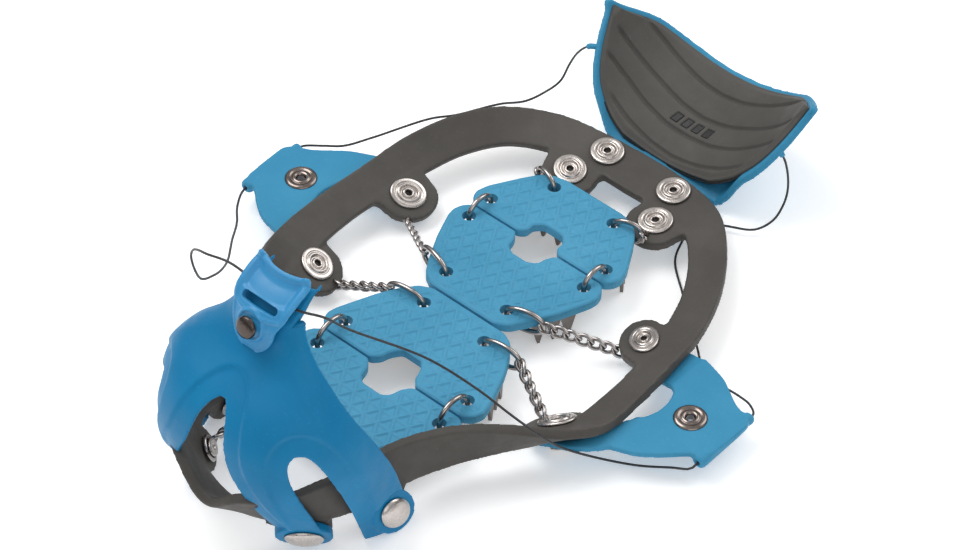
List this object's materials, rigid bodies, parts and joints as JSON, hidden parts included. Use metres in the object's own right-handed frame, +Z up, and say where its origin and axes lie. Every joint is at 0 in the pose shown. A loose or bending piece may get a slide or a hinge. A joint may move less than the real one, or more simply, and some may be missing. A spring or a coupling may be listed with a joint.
{
  "type": "boot microspikes",
  "caption": "Pull-on boot traction device: rubber band with toe hood, chained spike plates, folding side wings, and a folding heel cup with a lace dial.",
  "frame": {"origin": "on the ground, under the middle of the object's bounding box", "axes": "+Z up, the toe toward -Y, the heel cup toward +Y, the wearer's right side toward +X seen from above with the toe pointing away"},
  "size_m": [0.2452, 0.3272, 0.1144],
  "materials": {
    "band_rubber": "matte moulded elastomer",
    "hood_blue": "satin moulded elastomer",
    "moulding_blue": "satin moulded elastomer",
    "clip_blue": "satin moulded plastic",
    "rivet_nickel": "satin nickel plate",
    "dark_nickel": "dark nickel plate",
    "chain_steel": "bright drawn wire",
    "spike_steel": "hardened dark steel",
    "pad_grey": "matte moulded elastomer",
    "dial_black": "satin moulded plastic",
    "lace_black": "coated braided wire"
  },
  "bodies": {
    "harness": {"band": "band_rubber", "toe_hood": "hood_blue", "lace_clip": "clip_blue", "clip_rivet": "dark_nickel", "lobe_rivet_left_1": "rivet_nickel", "lobe_rivet_left_2": "rivet_nickel", "lobe_rivet_left_3": "rivet_nickel", "lobe_rivet_right_1": "rivet_nickel", "lobe_rivet_right_2": "rivet_nickel", "lobe_rivet_right_3": "rivet_nickel", "toe_rivet_left_rear": "rivet_nickel", "toe_rivet_left_front": "rivet_nickel", "toe_rivet_right_rear": "rivet_nickel", "toe_rivet_right_front": "rivet_nickel", "heel_rivet_left": "rivet_nickel", "heel_rivet_right": "rivet_nickel", "wing_left_arm_front": "moulding_blue", "wing_left_arm_rear": "moulding_blue", "wing_right_arm_front": "moulding_blue", "wing_right_arm_rear": "moulding_blue", "heel_strap": "moulding_blue", "plate_rear_back": "moulding_blue", "plate_front_front": "moulding_blue", "plate_ring_rear_left": "chain_steel", "plate_ring_rear_right": "chain_steel", "plate_ring_front_left": "chain_steel", "plate_ring_front_right": "chain_steel", "chain_left_1": "chain_steel", "chain_left_2": "chain_steel", "chain_left_3": "chain_steel", "chain_right_1": "chain_steel", "chain_right_2": "chain_steel", "chain_right_3": "chain_steel", "chain_toe_left": "chain_steel", "chain_toe_right": "chain_steel", "spikes_rear_back": "spike_steel", "spikes_front_front": "spike_steel", "lace_cup_left": "lace_black", "lace_toe_left": "lace_black", "lace_toe_right": "lace_black", "lace_cup_right": "lace_black"},
    "wing_left_flap": {"wing_left": "moulding_blue", "wing_grommet_left": "dark_nickel"},
    "wing_right_flap": {"wing_right": "moulding_blue", "wing_grommet_right": "dark_nickel"},
    "heel": {"heel_cup": "moulding_blue", "heel_pad": "pad_grey", "dial_base": "dial_black"},
    "reel": {"dial_spool": "dial_black", "dial_drive": "dark_nickel"},
    "dial_slider": {"dial_screw": "chain_steel"},
    "dial_cap": {"dial_knob": "dial_black", "knob_grip": "pad_grey"},
    "rear_plate_flap": {"plate_rear_front": "moulding_blue", "spikes_rear_front": "spike_steel"},
    "front_plate_flap": {"plate_front_back": "moulding_blue", "spikes_front_back": "spike_steel"}
  },
  "joints": [
    {"name": "heel_cup_fold", "type": "hinge", "parent": "harness", "child": "heel", "pos_m": [0, 0.11101, 0.0057], "axis": [1, 0, 0], "range_deg": [0, 40], "deforming": ["lace_cup_left", "lace_cup_right"]},
    {"name": "wing_left_fold", "type": "hinge", "parent": "harness", "child": "wing_left_flap", "pos_m": [-0.0884, 0.00131, 0.01355], "axis": [0, 1, 0], "range_deg": [0, 80], "deforming": ["lace_toe_left"]},
    {"name": "wing_right_fold", "type": "hinge", "parent": "harness", "child": "wing_right_flap", "pos_m": [0.0884, 0.00131, 0.01355], "axis": [0, -1, 0], "range_deg": [0, 80], "deforming": ["lace_toe_right"]},
    {"name": "dial_pull", "type": "slide", "parent": "heel", "child": "dial_slider", "axis": [0.0928, 0.2046, -0.9744], "range_m": [0, 0.002]},
    {"name": "dial_turn", "type": "hinge", "parent": "dial_slider", "child": "dial_cap", "pos_m": [0.00119, 0.14802, 0.01668], "axis": [0.0928, 0.2046, -0.9744], "continuous": true},
    {"name": "reel_turn", "type": "hinge", "parent": "heel", "child": "reel", "pos_m": [0.00119, 0.14802, 0.01668], "axis": [0.0928, 0.2046, -0.9744], "continuous": true},
    {"name": "rear_plate_fold", "type": "hinge", "parent": "harness", "child": "rear_plate_flap", "pos_m": [-0.003, 0.03381, 0.0152], "axis": [-1, 0, 0], "range_deg": [0, 15], "deforming": ["chain_left_2", "chain_right_2"]},
    {"name": "front_plate_fold", "type": "hinge", "parent": "harness", "child": "front_plate_flap", "pos_m": [0.002, -0.05939, 0.0152], "axis": [1, 0, 0], "range_deg": [0, 15], "deforming": ["chain_left_1", "chain_right_1"]}
  ],
  "couplings": [
    {"joint": "reel_turn", "follows": "dial_turn", "ratio": 1}
  ]
}
